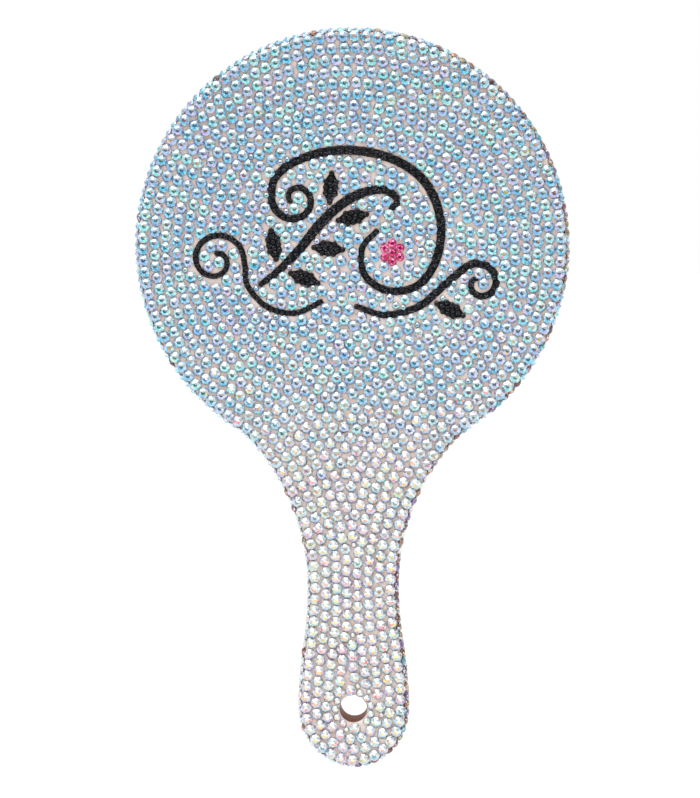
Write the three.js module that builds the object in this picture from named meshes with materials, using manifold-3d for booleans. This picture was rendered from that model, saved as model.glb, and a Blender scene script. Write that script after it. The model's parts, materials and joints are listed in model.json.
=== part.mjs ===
// A round-headed paddle hand mirror. The wooden paddle carries a bevelled glass in a pocket on its front. Its
// back and edge are covered with flat-backed glass rhinestones, among them a black scroll and a pink flower.
//
// Frame, in millimetres: the origin is the middle of the grip, on the paddle's mid plane. +Z runs from the
// handle to the head, -Y is the side of the decorated back, +Y is the side of the mirror.
import * as THREE from 'three';
import { mergeVertices } from 'three/addons/utils/BufferGeometryUtils.js';
import Module from 'manifold-3d';

const wasm = await Module();
wasm.setup();

// Driving dimensions of the paddle.
const PADDLE_THICKNESS = 9.5;
const HEAD_RADIUS = 75.8;
const HEAD_CENTRE_Z = 133.5;
const NECK_START_ANGLE = THREE.MathUtils.degToRad(57.4); // below horizontal, where the head circle ends
const WAIST_HALF_WIDTH = 15.4;
const WAIST_Z = 12.2;
const END_HALF_WIDTH = 19;
const END_HEIGHT = 20.8; // semi-axis of the half ellipse that closes the handle
const END_CENTRE_Z = -33.5;
const EDGE_CHAMFER = 0.6;
const HANG_HOLE_RADIUS = 5;

// Mirror, from the pocket's floor to the front face.
const GLASS_RADIUS = 63.5;
const GLASS_THICKNESS = 3;
const GLASS_RECESS = 0.3;
const GLASS_BEVEL_WIDTH = 9;
const GLASS_BEVEL_DEPTH = 1.2;
const SILVER_THICKNESS = 0.25;
const PAD_RADIUS = 58;
const PAD_THICKNESS = 0.8;

// Rhinestones: diameter over the girdle and height over the flat back.
const FACE_STONE = { diameter: 3.9, height: 1.6 };
const SMALL_STONE = { diameter: 2.8, height: 1.3 };
const SCROLL_STONE = { diameter: 2, height: 1.1 };
const RIM_STONE = { diameter: 3.1, height: 1.2 };
const TABLE_RATIO = 0.4; // table across, as a share of the diameter
const GIRDLE_HEIGHT = 0.3;
const STONE_SIDES = 8;
const HOLE_STONE_RING_RADIUS = 6.55;
const HOLE_STONE_STEP = THREE.MathUtils.degToRad(27.5);
const FLOWER_STONE_PITCH = 3.15;

const GLUE_THICKNESS = 0.3;
const GLUE_INSET = 0.8;
const CLEARANCE = 0.3; // gap beside neighbouring pieces
const RIM_BAND_HALF_HEIGHT = 4.4;
const HEAD_FIELD_BOTTOM_Z = 70;
const HANDLE_FIELD_TOP_Z = 22;

const BACK_Y = -PADDLE_THICKNESS / 2;
const FRONT_Y = PADDLE_THICKNESS / 2;
const GLUE_BACK_Y = BACK_Y - GLUE_THICKNESS;

// The scroll's centre lines, as offsets from the head's centre: x to the right, z toward the top. swell is
// how far its stones stand to either side of the line where the strand is widest.
const FLOWER_CENTRE = [14.6, -1.4];
const SCROLL_STRANDS = {
  scroll_sweep: {
    swell: 0.7,
    points: [...spiralPoints([-19.5, 17.5], 2, 8.5, 560, 175, 12), [-26.2, 25.5], [-17.5, 31.5], [-3, 34.5],
      [13, 32], [25.5, 24], [31.5, 11], [30.5, -3], [24, -12.8], [13.5, -15], [5, -9.5], [4, 0], [9.5, 6.5]],
  },
  scroll_vine: {
    swell: 0.85,
    points: [[-32, -12.5], [-26, -8], [-18, 0], [-11.5, 8], [-4, 15], [4, 19.5], [12, 20.5], [16.5, 17],
      [14, 13.5]],
  },
  scroll_left_curl: {
    swell: 0.15,
    points: [...spiralPoints([-48, -4], 2.5, 10.5, 80, -370, 13), [-36.8, -13], [-30, -20.5], [-20, -22.8],
      [-10, -18.5]],
  },
  scroll_right_tendril: {
    swell: 0.5,
    points: [[2, -20.5], [12, -23.5], [24, -20.5], [33, -13],
      ...spiralPoints([45.5, -12.5], 7.5, 2, 125, -250, 11)],
  },
};
// Leaves are pointed ovals; tilt is the angle of the long axis in degrees.
const LEAF_HALF_LENGTH = 6.2;
const LEAF_HALF_WIDTH = 2.9;
const LEAF_ARC_STEPS = 8;
const SCROLL_LEAVES = [
  { centre: [-27.4, 1.4], tilt: 100 },
  { centre: [-8, 0], tilt: -5 },
  { centre: [-16.6, -10.4], tilt: -20 },
  { centre: [-7, 21.4], tilt: 85 },
  { centre: [0.6, 11], tilt: 12 },
  { centre: [35, -21.6], tilt: -25 },
];

// Points on a spiral whose radius grows evenly with its angle, in degrees.
function spiralPoints([x, z], startRadius, endRadius, startAngle, endAngle, count) {
  return Array.from({ length: count }, (_, i) => {
    const t = i / (count - 1);
    const radius = THREE.MathUtils.lerp(startRadius, endRadius, t);
    const angle = THREE.MathUtils.degToRad(THREE.MathUtils.lerp(startAngle, endAngle, t));
    return [x + radius * Math.cos(angle), z + radius * Math.sin(angle)];
  });
}

// Outlines. All of them lie in the paddle's plane, with y standing for the part's Z until slab() turns them.

// The right half of the paddle's outline, from the top of the head down to the end of the handle.
function rightHalf(headSteps, neckSteps, handleSteps, endSteps) {
  const angleAt = (t) => THREE.MathUtils.lerp(Math.PI / 2, -NECK_START_ANGLE, t);
  const onHead = (angle) =>
    new THREE.Vector2(HEAD_RADIUS * Math.cos(angle), HEAD_CENTRE_Z + HEAD_RADIUS * Math.sin(angle));
  const head = Array.from({ length: headSteps }, (_, i) => onHead(angleAt(i / headSteps)));
  const neckTop = onHead(-NECK_START_ANGLE);
  const leave = new THREE.Vector2(-Math.sin(NECK_START_ANGLE), -Math.cos(NECK_START_ANGLE));
  const waist = new THREE.Vector2(WAIST_HALF_WIDTH, WAIST_Z);
  const swell = new THREE.Vector2(END_HALF_WIDTH, END_CENTRE_Z);
  const neck = new THREE.CubicBezierCurve(
    neckTop,
    neckTop.clone().addScaledVector(leave, 9.5),
    waist.clone().add(new THREE.Vector2(0, 29.5)),
    waist,
  );
  const handle = new THREE.CubicBezierCurve(
    waist,
    waist.clone().add(new THREE.Vector2(0, -20)),
    swell.clone().add(new THREE.Vector2(0, 20)),
    swell,
  );
  const end = Array.from({ length: endSteps + 1 }, (_, i) => {
    const angle = (i / endSteps) * (Math.PI / 2);
    return new THREE.Vector2(END_HALF_WIDTH * Math.cos(angle), END_CENTRE_Z - END_HEIGHT * Math.sin(angle));
  });
  const neckPoints = neck.getPoints(neckSteps).slice(0, -1);
  const handlePoints = handle.getPoints(handleSteps).slice(0, -1);
  return [...head, ...neckPoints, ...handlePoints, ...end];
}

// The whole outline, clockwise from the top, as a closed ring of points.
function paddleOutline() {
  const right = rightHalf(24, 9, 5, 8);
  const left = right.slice(1, -1).reverse().map((p) => new THREE.Vector2(-p.x, p.y));
  return [...right, ...left];
}

// Moves each point of a clockwise ring outward by distance (inward if negative).
function offsetRing(ring, distance) {
  return ring.map((point, i) => {
    const before = ring[(i + ring.length - 1) % ring.length];
    const after = ring[(i + 1) % ring.length];
    const a = point.clone().sub(before).normalize();
    const b = after.clone().sub(point).normalize();
    const normal = new THREE.Vector2(-(a.y + b.y), a.x + b.x).normalize();
    const stretch = 1 / Math.max(0.5, normal.dot(new THREE.Vector2(-a.y, a.x)));
    return point.clone().addScaledVector(normal, distance * stretch);
  });
}

function circlePoints([x, z], radius, sides) {
  return Array.from({ length: sides }, (_, i) => {
    const angle = (i / sides) * 2 * Math.PI;
    return new THREE.Vector2(x + radius * Math.cos(angle), z + radius * Math.sin(angle));
  });
}

function aboutHead([x, z]) {
  return [x, HEAD_CENTRE_Z + z];
}

function centreLine(points) {
  const knots = points.map(aboutHead).map(([x, z]) => new THREE.Vector3(x, z, 0));
  return new THREE.CatmullRomCurve3(knots, false, 'catmullrom', 0.5);
}

// The outline of a strand, grown outward by offset, with blunt ends.
function strandOutline({ points, swell }, offset) {
  const width = SCROLL_STONE.diameter + 2 * swell + 2 * offset;
  const curve = centreLine(points);
  const steps = Math.round(curve.getLength() / 4);
  const left = [];
  const right = [];
  for (let i = 0; i <= steps; i += 1) {
    const centre = curve.getPointAt(i / steps);
    const along = curve.getTangentAt(i / steps);
    const side = new THREE.Vector2(-along.y, along.x);
    const atEnd = i === 0 || i === steps;
    const reach = (width / 2) * (atEnd ? 0.5 : 1);
    left.push(new THREE.Vector2(centre.x, centre.y).addScaledVector(side, reach));
    right.push(new THREE.Vector2(centre.x, centre.y).addScaledVector(side, -reach));
  }
  return [...left, ...right.reverse()];
}

// The outline of a leaf, grown outward by offset: two equal arcs that meet in a point at each end.
function leafOutline({ centre, tilt }, offset) {
  const [x, z] = aboutHead(centre);
  const halfLength = LEAF_HALF_LENGTH + offset;
  const halfWidth = LEAF_HALF_WIDTH + offset;
  const radius = (halfLength ** 2 + halfWidth ** 2) / (2 * halfWidth);
  const reach = Math.asin(halfLength / radius);
  const arc = Array.from({ length: LEAF_ARC_STEPS }, (_, i) => {
    const angle = THREE.MathUtils.lerp(-reach, reach, i / LEAF_ARC_STEPS);
    return new THREE.Vector2(radius * Math.sin(angle), radius * Math.cos(angle) - radius + halfWidth);
  });
  const ring = [...arc, ...arc.map((p) => p.clone().negate())];
  const turn = THREE.MathUtils.degToRad(tilt);
  return ring.map((p) => p.rotateAround(new THREE.Vector2(), turn).add(new THREE.Vector2(x, z)));
}

// Solids.

// An outline extruded from the plane y = top toward -Y by thickness.
function slab(outline, top, thickness) {
  const shape = new THREE.Shape(outline);
  const geometry = new THREE.ExtrudeGeometry(shape, { depth: thickness, bevelEnabled: false });
  geometry.rotateX(Math.PI / 2);
  geometry.translate(0, top, 0);
  return geometry;
}

function toManifold(geometry) {
  const bare = geometry.clone();
  bare.deleteAttribute('normal');
  bare.deleteAttribute('uv');
  const merged = mergeVertices(bare, 1e-4);
  const mesh = new wasm.Mesh({
    numProp: 3,
    vertProperties: merged.attributes.position.array,
    triVerts: new Uint32Array(merged.index.array),
  });
  return new wasm.Manifold(mesh);
}

function toGeometry(solid) {
  const mesh = solid.getMesh();
  const geometry = new THREE.BufferGeometry();
  geometry.setAttribute('position', new THREE.BufferAttribute(mesh.vertProperties, 3));
  geometry.setIndex(new THREE.BufferAttribute(mesh.triVerts, 1));
  geometry.computeVertexNormals();
  return geometry;
}

function cut(geometry, cutters) {
  const solid = cutters.reduce((rest, cutter) => rest.subtract(toManifold(cutter)), toManifold(geometry));
  return toGeometry(solid);
}

function disc(radius, back, front, sides) {
  const profile = [[0, back], [radius, back], [radius, front], [0, front]];
  return new THREE.LatheGeometry(profile.map(([x, y]) => new THREE.Vector2(x, y)), sides);
}

// A flat-backed stone about its own axis, standing on y = 0 and rising toward -Y: an octagonal girdle, a
// sloping crown and a small flat table.
function stoneGeometry({ diameter, height }) {
  const radius = diameter / 2;
  const table = radius * TABLE_RATIO;
  const profile = [[0, -height], [table, -height], [radius, -GIRDLE_HEIGHT], [radius, 0], [0, 0]];
  return new THREE.LatheGeometry(profile.map(([x, y]) => new THREE.Vector2(x, y)), STONE_SIDES);
}

// Assembly.

const FINISH = {
  wood: { color: 0x6e3a22, roughness: 0.5, metalness: 0 },
  glass: { color: 0xdfe6e8, roughness: 0.03, metalness: 0.9 },
  silver: { color: 0x8c8f92, roughness: 0.4, metalness: 0.8 },
  foam: { color: 0xe9e6df, roughness: 0.9, metalness: 0 },
  glue: { color: 0xb8a8a0, roughness: 0.6, metalness: 0 },
  crystal: { color: 0xbfdcea, roughness: 0.12, metalness: 0.5 },
  black: { color: 0x0c0c0e, roughness: 0.12, metalness: 0.2 },
  pink: { color: 0xd81b72, roughness: 0.12, metalness: 0.4 },
};

const handMirror = new THREE.Group();

function addPart(name, geometry, finish, parent = handMirror) {
  const mesh = new THREE.Mesh(geometry, new THREE.MeshStandardMaterial(FINISH[finish]));
  mesh.name = name;
  parent.add(mesh);
  return mesh;
}

// Wooden paddle with its chamfered edges, hang hole and mirror pocket.
const silverBack = FRONT_Y - GLASS_RECESS - GLASS_THICKNESS - SILVER_THICKNESS;
const pocketFloor = silverBack - PAD_THICKNESS;

function paddleBody() {
  const shape = new THREE.Shape(paddleOutline());
  shape.holes = [new THREE.Path(circlePoints([0, END_CENTRE_Z], HANG_HOLE_RADIUS, 24))];
  const geometry = new THREE.ExtrudeGeometry(shape, {
    depth: PADDLE_THICKNESS - 2 * EDGE_CHAMFER,
    bevelThickness: EDGE_CHAMFER,
    bevelSize: EDGE_CHAMFER,
    bevelOffset: -EDGE_CHAMFER,
    bevelSegments: 1,
  });
  geometry.rotateX(Math.PI / 2);
  geometry.translate(0, FRONT_Y - EDGE_CHAMFER, 0);
  const pocket = disc(GLASS_RADIUS + CLEARANCE, pocketFloor, FRONT_Y + 1, 64);
  pocket.translate(0, 0, HEAD_CENTRE_Z);
  return cut(geometry, [pocket]);
}

addPart('paddle_body', paddleBody(), 'wood');

// Mirror: bevelled glass, the silvering with its paint on the glass's back, and the foam tape that holds it.
const mirrorStack = new THREE.Group();
mirrorStack.position.z = HEAD_CENTRE_Z;
handMirror.add(mirrorStack);

function bevelledGlass() {
  const back = silverBack + SILVER_THICKNESS;
  const front = back + GLASS_THICKNESS;
  const profile = [[0, back], [GLASS_RADIUS, back], [GLASS_RADIUS, front - GLASS_BEVEL_DEPTH],
    [GLASS_RADIUS - GLASS_BEVEL_WIDTH, front], [0, front]];
  return new THREE.LatheGeometry(profile.map(([x, y]) => new THREE.Vector2(x, y)), 64);
}

const silvering = disc(GLASS_RADIUS, silverBack, silverBack + SILVER_THICKNESS, 64);
const foamTape = disc(PAD_RADIUS, pocketFloor, silverBack, 48);
addPart('mirror_glass', bevelledGlass(), 'glass', mirrorStack);
addPart('mirror_silvering', silvering, 'silver', mirrorStack);
addPart('mirror_foam_tape', foamTape, 'foam', mirrorStack);

// Glue coat over the back face.
const outline = paddleOutline();
const glueHole = circlePoints([0, END_CENTRE_Z], HANG_HOLE_RADIUS + EDGE_CHAMFER + 0.1, 24);
const glueCoat = slab(offsetRing(outline, -GLUE_INSET), BACK_Y, GLUE_THICKNESS);
addPart('back_glue_coat', cut(glueCoat, [slab(glueHole, BACK_Y + 1, GLUE_THICKNESS + 2)]), 'glue');

// Single stones: the ones beside the hang hole and the flower.
function holeStoneAngles() {
  const right = Array.from({ length: 5 }, (_, i) => THREE.MathUtils.degToRad(68) - i * HOLE_STONE_STEP);
  const left = Array.from({ length: 4 }, (_, i) => THREE.MathUtils.degToRad(152) + i * HOLE_STONE_STEP);
  return [...right, ...left];
}

function flowerPlaces() {
  const petals = Array.from({ length: 6 }, (_, i) => {
    const angle = (i + 0.5) * (Math.PI / 3);
    return [FLOWER_STONE_PITCH * Math.cos(angle), FLOWER_STONE_PITCH * Math.sin(angle)];
  });
  return [[0, 0], ...petals];
}

const holeStonePlaces = holeStoneAngles().map((angle) =>
  [HOLE_STONE_RING_RADIUS * Math.cos(angle), END_CENTRE_Z + HOLE_STONE_RING_RADIUS * Math.sin(angle)]);
holeStonePlaces.forEach(([x, z], i) => {
  const stone = addPart(`hang_hole_stone_${i + 1}`, stoneGeometry(SMALL_STONE), 'crystal');
  stone.position.set(x, GLUE_BACK_Y, z);
});

const flower = new THREE.Group();
flower.position.set(FLOWER_CENTRE[0], GLUE_BACK_Y, HEAD_CENTRE_Z + FLOWER_CENTRE[1]);
handMirror.add(flower);
flowerPlaces().forEach(([x, z], i) => {
  const name = i === 0 ? 'flower_centre_stone' : `flower_petal_stone_${i}`;
  addPart(name, stoneGeometry(SMALL_STONE), 'pink', flower).position.set(x, 0, z);
});

// The black scroll: rows of small stones as one solid for each strand and leaf.
function scrollOutlines(offset) {
  const rings = new Map();
  for (const [name, strand] of Object.entries(SCROLL_STRANDS)) {
    rings.set(name, strandOutline(strand, offset));
  }
  SCROLL_LEAVES.forEach((leaf, i) => rings.set(`scroll_leaf_${i + 1}`, leafOutline(leaf, offset)));
  return rings;
}

for (const [name, ring] of scrollOutlines(0)) {
  addPart(name, slab(ring, GLUE_BACK_Y, SCROLL_STONE.height), 'black');
}

// Layers of face stones. Each is one solid over its stretch of the paddle, cut away beside other stones.
const faceSlab = (ring) => slab(ring, GLUE_BACK_Y, FACE_STONE.height);
const cutterSlab = (ring) => slab(ring, GLUE_BACK_Y + 1, FACE_STONE.height + 2);

function between(lowZ, highZ) {
  const half = HEAD_RADIUS + 10;
  const corners = [[-half, lowZ], [-half, highZ], [half, highZ], [half, lowZ]];
  return corners.map(([x, z]) => new THREE.Vector2(x, z));
}

const topZ = HEAD_CENTRE_Z + HEAD_RADIUS + 10;
const endZ = END_CENTRE_Z - END_HEIGHT - 10;
const wholeField = offsetRing(outline, -GLUE_INSET / 2);

const headCutters = [
  between(endZ, HEAD_FIELD_BOTTOM_Z),
  circlePoints(aboutHead(FLOWER_CENTRE), FLOWER_STONE_PITCH + SMALL_STONE.diameter / 2 + CLEARANCE, 20),
  ...scrollOutlines(CLEARANCE).values(),
];
const handleCutters = [
  between(HANDLE_FIELD_TOP_Z, topZ),
  circlePoints([0, END_CENTRE_Z], HOLE_STONE_RING_RADIUS, 24),
  ...holeStonePlaces.map((place) => circlePoints(place, SMALL_STONE.diameter / 2 + CLEARANCE, 12)),
];
const neckCutters = [
  between(HEAD_FIELD_BOTTOM_Z - CLEARANCE, topZ),
  between(endZ, HANDLE_FIELD_TOP_Z + CLEARANCE),
];
addPart('head_stone_field', cut(faceSlab(wholeField), headCutters.map(cutterSlab)), 'crystal');
addPart('neck_stone_field', cut(faceSlab(wholeField), neckCutters.map(cutterSlab)), 'crystal');
addPart('handle_stone_field', cut(faceSlab(wholeField), handleCutters.map(cutterSlab)), 'crystal');

// Bands of edge stones around the paddle, as four solids with small gaps between them.
const bandOuter = offsetRing(outline, CLEARANCE + RIM_STONE.height);
const bandInner = offsetRing(outline, CLEARANCE);
const bandTop = RIM_BAND_HALF_HEIGHT;
const bandBlock = (ring) => slab(ring, bandTop + 1, 2 * bandTop + 2);
const neckTopZ = HEAD_CENTRE_Z - HEAD_RADIUS * Math.sin(NECK_START_ANGLE);

function sideBlock(sign) {
  const far = sign * (HEAD_RADIUS + 10);
  const middle = -sign * 0.1;
  return [[far, endZ], [middle, endZ], [middle, topZ], [far, topZ]].map(([x, z]) => new THREE.Vector2(x, z));
}

function rimBand(cutters) {
  const band = slab(bandOuter, bandTop, 2 * bandTop);
  return cut(band, [bandInner, ...cutters].map(bandBlock));
}

addPart('rim_stones_head', rimBand([between(endZ, neckTopZ)]), 'crystal');
addPart('rim_stones_end', rimBand([between(END_CENTRE_Z, topZ)]), 'crystal');
for (const [side, otherSign] of [['right', -1], ['left', 1]]) {
  const cutters = [
    between(neckTopZ - CLEARANCE, topZ),
    between(endZ, END_CENTRE_Z + CLEARANCE),
    sideBlock(otherSign),
  ];
  addPart(`rim_stones_${side}`, rimBand(cutters), 'crystal');
}

export default handMirror;
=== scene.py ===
"""A paddle hand mirror covered with rhinestones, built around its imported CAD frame.

Every stone is modelled on its own and laid in rows that follow the paddle's outline, from the edge inward, as
the real ones are. All lengths are in metres, in the CAD model's frame: +Z to the head, -Y out of the back.
"""
import json
import math

import bmesh
import bpy
import numpy as np
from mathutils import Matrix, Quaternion, Vector
from mathutils.geometry import tessellate_polygon


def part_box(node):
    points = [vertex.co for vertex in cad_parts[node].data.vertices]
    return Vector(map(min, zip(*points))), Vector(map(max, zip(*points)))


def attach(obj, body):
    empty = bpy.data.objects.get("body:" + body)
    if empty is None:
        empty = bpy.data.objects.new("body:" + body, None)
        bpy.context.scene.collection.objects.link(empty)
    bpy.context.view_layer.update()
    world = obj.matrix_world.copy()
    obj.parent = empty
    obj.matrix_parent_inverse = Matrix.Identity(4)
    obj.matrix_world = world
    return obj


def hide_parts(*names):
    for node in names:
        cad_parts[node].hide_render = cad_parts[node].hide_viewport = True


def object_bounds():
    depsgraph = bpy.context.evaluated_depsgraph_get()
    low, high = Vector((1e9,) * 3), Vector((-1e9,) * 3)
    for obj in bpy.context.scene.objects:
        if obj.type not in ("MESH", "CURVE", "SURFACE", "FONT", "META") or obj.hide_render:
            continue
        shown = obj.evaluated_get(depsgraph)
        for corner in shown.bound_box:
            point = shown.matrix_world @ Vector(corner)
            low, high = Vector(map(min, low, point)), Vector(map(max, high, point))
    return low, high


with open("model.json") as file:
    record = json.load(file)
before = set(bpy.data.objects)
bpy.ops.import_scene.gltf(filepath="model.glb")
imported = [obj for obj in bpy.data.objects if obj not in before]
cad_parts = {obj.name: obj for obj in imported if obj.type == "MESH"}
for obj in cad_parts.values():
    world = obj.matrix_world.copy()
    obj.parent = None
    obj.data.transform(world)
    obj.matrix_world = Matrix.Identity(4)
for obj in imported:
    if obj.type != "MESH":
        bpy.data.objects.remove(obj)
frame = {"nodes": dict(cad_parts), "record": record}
cad_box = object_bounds()
rng = np.random.default_rng(11)
MM = 0.001

# ------------ sizes, from the frame where it holds them

paddle_low, paddle_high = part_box("paddle_body")
glass_low, glass_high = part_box("mirror_glass")
field_low, field_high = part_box("head_stone_field")
small_low, small_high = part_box("hang_hole_stone_1")
scroll_low, scroll_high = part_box("scroll_vine")
hole_box = frame["record"]["physics"]["openings"][0]["box_m"]

HEAD_RADIUS = paddle_high.x
HEAD_Z = paddle_high.z - HEAD_RADIUS
BACK_Y = paddle_low.y
FRONT_Y = paddle_high.y
GLUE_Y = field_high.y
FACE_STONE_HEIGHT = field_high.y - field_low.y
SMALL_STONE_HEIGHT = small_high.y - small_low.y
SCROLL_STONE_HEIGHT = scroll_high.y - scroll_low.y
HOLE_Z = (hole_box[0][2] + hole_box[1][2]) / 2
END_HEIGHT = HOLE_Z - paddle_low.z
HOLE_RADIUS = 5 * MM
NECK_START = math.radians(57.4)
WAIST_HALF_WIDTH = 15.4 * MM
WAIST_Z = 12.2 * MM
END_HALF_WIDTH = 19 * MM
# How far the outline's curves keep to their direction at the neck's top, at the waist and along the handle.
NECK_PULL = 9.5 * MM
WAIST_PULL = 29.5 * MM
HANDLE_PULL = 20 * MM
OUTLINE_STEP = 0.5 * MM
COARSE_STEP = 0.8 * MM

# Radii of the stock stone sizes. SS16 is drawn 0.03 mm larger than it is, so that the stones nearly touch.
SS16 = 1.98 * MM
SS14 = 1.75 * MM
SS12 = 1.55 * MM
SS10 = 1.38 * MM
SS8 = 1.15 * MM
SS6 = 1.0 * MM
STONE_SIZES = (SS16, SS14, SS12, SS10, SS8, SS6)
ROW_SPACING = 4.02 * MM
STONE_GAP = 0.04 * MM
FILLER_GAP = 0.03 * MM
EDGE_ROW_INSET = 1.85 * MM
ROW_WOBBLE = 0.03 * MM
SCROLL_PITCH = 2 * SS6 + STONE_GAP
FLOWER_STONE = 1.52 * MM
PETAL_RING = 3.15 * MM
HOLE_STONE = 1.4 * MM
HOLE_RING = 6.55 * MM
HOLE_CLEARANCE = 0.15 * MM
# The least room in which settle squeezes in a stone, and the shares of an overlap by which a stone gives way
# to one that can move and to one that can't.
SNUG = 0.62 * SS16
GIVE_TO_FREE = 0.4
GIVE_TO_FIXED = 0.8

RIM_PITCH = 3.16 * MM
RIM_HEIGHT = 1.25 * MM
RIM_LIFT = 0.05 * MM
RIM_TILT = 0.06
# Three rows of edge stones round the side: each row's y and how many degrees its stones lean toward the back.
RIM_ROWS = ((-3.85 * MM, 28), (-0.75 * MM, 0), (2.45 * MM, 0))
RIM_NODES = ("rim_stones_head", "rim_stones_end", "rim_stones_left", "rim_stones_right")


# ------------ outline of the paddle in its plane (x, z)

def bezier(p0, p1, p2, p3, count):
    """Points along a cubic curve, without its last one."""
    t = np.linspace(0, 1, count, endpoint=False)[:, None]
    p0, p1, p2, p3 = (np.array(p) for p in (p0, p1, p2, p3))
    return (1 - t) ** 3 * p0 + 3 * (1 - t) ** 2 * t * p1 + 3 * (1 - t) * t ** 2 * p2 + t ** 3 * p3


def paddle_outline():
    """The closed outline, clockwise from the top of the head."""
    angle = np.linspace(math.pi / 2, -NECK_START, 400, endpoint=False)
    head = np.stack([HEAD_RADIUS * np.cos(angle), HEAD_Z + HEAD_RADIUS * np.sin(angle)], 1)
    neck_top = np.array([HEAD_RADIUS * math.cos(NECK_START), HEAD_Z - HEAD_RADIUS * math.sin(NECK_START)])
    leave = np.array([-math.sin(NECK_START), -math.cos(NECK_START)])
    waist = np.array([WAIST_HALF_WIDTH, WAIST_Z])
    swell = np.array([END_HALF_WIDTH, HOLE_Z])
    neck = bezier(neck_top, neck_top + leave * NECK_PULL, waist + [0, WAIST_PULL], waist, count=160)
    handle = bezier(waist, waist - [0, HANDLE_PULL], swell + [0, HANDLE_PULL], swell, count=100)
    angle = np.linspace(0, math.pi / 2, 80)
    end = np.stack([END_HALF_WIDTH * np.cos(angle), HOLE_Z - END_HEIGHT * np.sin(angle)], 1)
    right = np.concatenate([head, neck, handle, end])
    left = right[1:-1][::-1] * [-1, 1]
    return np.concatenate([right, left])


def resample(ring, spacing):
    """Points at an even spacing round a closed ring of points."""
    path = np.concatenate([ring, ring[:1]])
    length = np.concatenate([[0], np.cumsum(np.linalg.norm(np.diff(path, axis=0), axis=1))])
    count = max(2, int(round(length[-1] / spacing)))
    at = np.linspace(0, length[-1], count, endpoint=False)
    return np.stack([np.interp(at, length, path[:, 0]), np.interp(at, length, path[:, 1])], 1)


def outward_normals(ring):
    """Unit directions out of a closed ring that runs clockwise."""
    along = np.roll(ring, -1, 0) - np.roll(ring, 1, 0)
    along /= np.linalg.norm(along, axis=1)[:, None]
    return np.stack([-along[:, 1], along[:, 0]], 1)


OUTLINE = resample(paddle_outline(), OUTLINE_STEP)
NORMALS = outward_normals(OUTLINE)


def edge_distance(points):
    """How far each point is from the outline."""
    gap = points[:, None, :] - OUTLINE[None, :, :]
    return np.sqrt((gap ** 2).sum(2).min(1))


# ------------ the scroll's centre lines and leaves

def spiral(centre, start_radius, end_radius, start_angle, end_angle, count):
    """Knots that wind about centre, between two angles in degrees."""
    t = np.linspace(0, 1, count)
    radius = start_radius + (end_radius - start_radius) * t
    angle = np.radians(start_angle + (end_angle - start_angle) * t)
    return [(centre[0] + r * math.cos(a), centre[1] + r * math.sin(a)) for r, a in zip(radius, angle)]


# Knots in millimetres from the head's centre, after how far the stones stand to either side of the line where
# the strand is widest.
STRANDS = {
    "scroll_sweep": (0.7, [*spiral((-19.5, 17.5), 2, 8.5, 560, 175, 12), (-26.2, 25.5), (-17.5, 31.5),
                           (-3, 34.5), (13, 32), (25.5, 24), (31.5, 11), (30.5, -3), (24, -12.8), (13.5, -15),
                           (5, -9.5), (4, 0), (9.5, 6.5)]),
    "scroll_vine": (0.85, [(-32, -12.5), (-26, -8), (-18, 0), (-11.5, 8), (-4, 15), (4, 19.5), (12, 20.5),
                           (16.5, 17), (14, 13.5)]),
    "scroll_left_curl": (0.15, [*spiral((-48, -4), 2.5, 10.5, 80, -370, 13), (-36.8, -13), (-30, -20.5),
                                (-20, -22.8), (-10, -18.5)]),
    "scroll_right_tendril": (0.5, [(2, -20.5), (12, -23.5), (24, -20.5), (33, -13),
                                   *spiral((45.5, -12.5), 7.5, 2, 125, -250, 11)]),
}
# Each leaf's centre in millimetres and the angle of its long axis.
LEAVES = [((-27.4, 1.4), 100), ((-8, 0), -5), ((-16.6, -10.4), -20), ((-7, 21.4), 85), ((0.6, 11), 12),
          ((35, -21.6), -25)]
# How many stones are in each of a leaf's rows, and the leaf's half length and half width in stone pitches.
LEAF_ROWS = {-1: 3, 0: 6, 1: 3}
LEAF_HALF_LENGTH = 2.9
LEAF_HALF_WIDTH = 1.25
LEAF_ROW_SPACING = 0.87
FLOWER_CENTRE = np.array([14.6, -1.4]) * MM + [0, HEAD_Z]


def smooth_path(knots, steps=24):
    """A Catmull-Rom curve through the knots, in metres."""
    p = np.array(knots, float) * MM + [0, HEAD_Z]
    p = np.concatenate([[2 * p[0] - p[1]], p, [2 * p[-1] - p[-2]]])
    t = np.linspace(0, 1, steps, endpoint=False)[:, None]
    spans = []
    for a, b, c, d in zip(p, p[1:], p[2:], p[3:]):
        spans.append(0.5 * (2 * b + (c - a) * t + (2 * a - 5 * b + 4 * c - d) * t ** 2
                            + (3 * b - a - 3 * c + d) * t ** 3))
    return np.concatenate([*spans, p[-2:-1]])


# ------------ where the stones go

class Layout:
    """Stones laid on the flat back, each with a centre, a radius and the piece it belongs to."""

    def __init__(self):
        self.centres = np.zeros((0, 2))
        self.radii = np.zeros(0)
        self.groups = []

    def room(self, point, radius):
        """Whether a stone at point would stay clear of all the others."""
        reach = np.linalg.norm(self.centres - point, axis=1)
        return bool((reach >= self.radii + radius + STONE_GAP).all())

    def add(self, point, radius, group):
        self.centres = np.concatenate([self.centres, [point]])
        self.radii = np.append(self.radii, radius)
        self.groups.append(group)

    def of(self, group):
        """The centres and radii of one piece's stones."""
        mine = [i for i, g in enumerate(self.groups) if g == group]
        return self.centres[mine], self.radii[mine]


layout = Layout()
# A strand's black resin bed: its height on the glue, and the share of its outer stones' radius it covers.
BED_HEIGHT = 0.45 * MM
BED_SHARE = 0.86
SWELL_POWER = 0.6
beds = {}


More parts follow.
